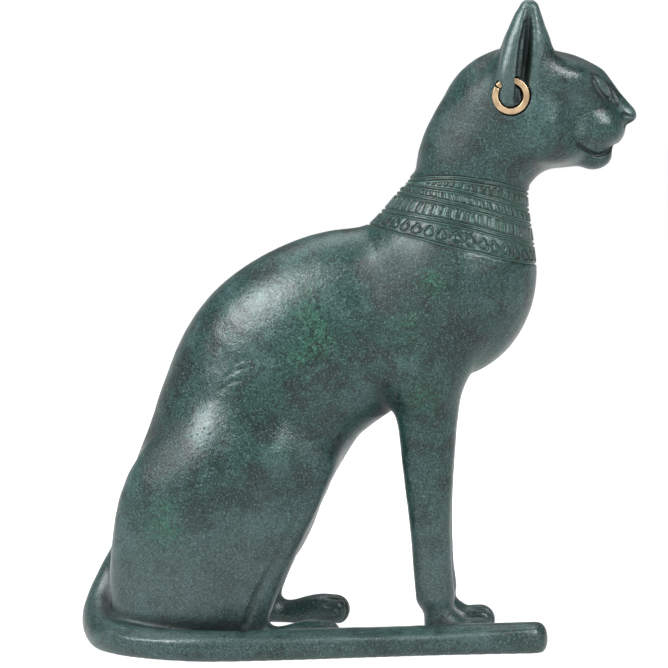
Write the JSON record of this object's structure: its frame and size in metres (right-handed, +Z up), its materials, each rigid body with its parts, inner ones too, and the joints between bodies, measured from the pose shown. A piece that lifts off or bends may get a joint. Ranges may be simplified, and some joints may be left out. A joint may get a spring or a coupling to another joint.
{
  "type": "seated cat figure",
  "caption": "Seated cat figure, cast in bronze with a green patina, engraved collar, tail curled along its side and a gold ring in the right ear.",
  "frame": {"origin": "on the underside, under the middle of the overall size", "axes": "+Z up, +X the way the cat looks, +Y to its left"},
  "size_m": [0.2596, 0.1004, 0.3],
  "materials": {
    "patinated_bronze": "dark blue-green patina, satin, worn lighter on the high points",
    "gold": "polished"
  },
  "bodies": {
    "root": {"cat": "patinated_bronze", "earring": "gold"}
  },
  "joints": []
}
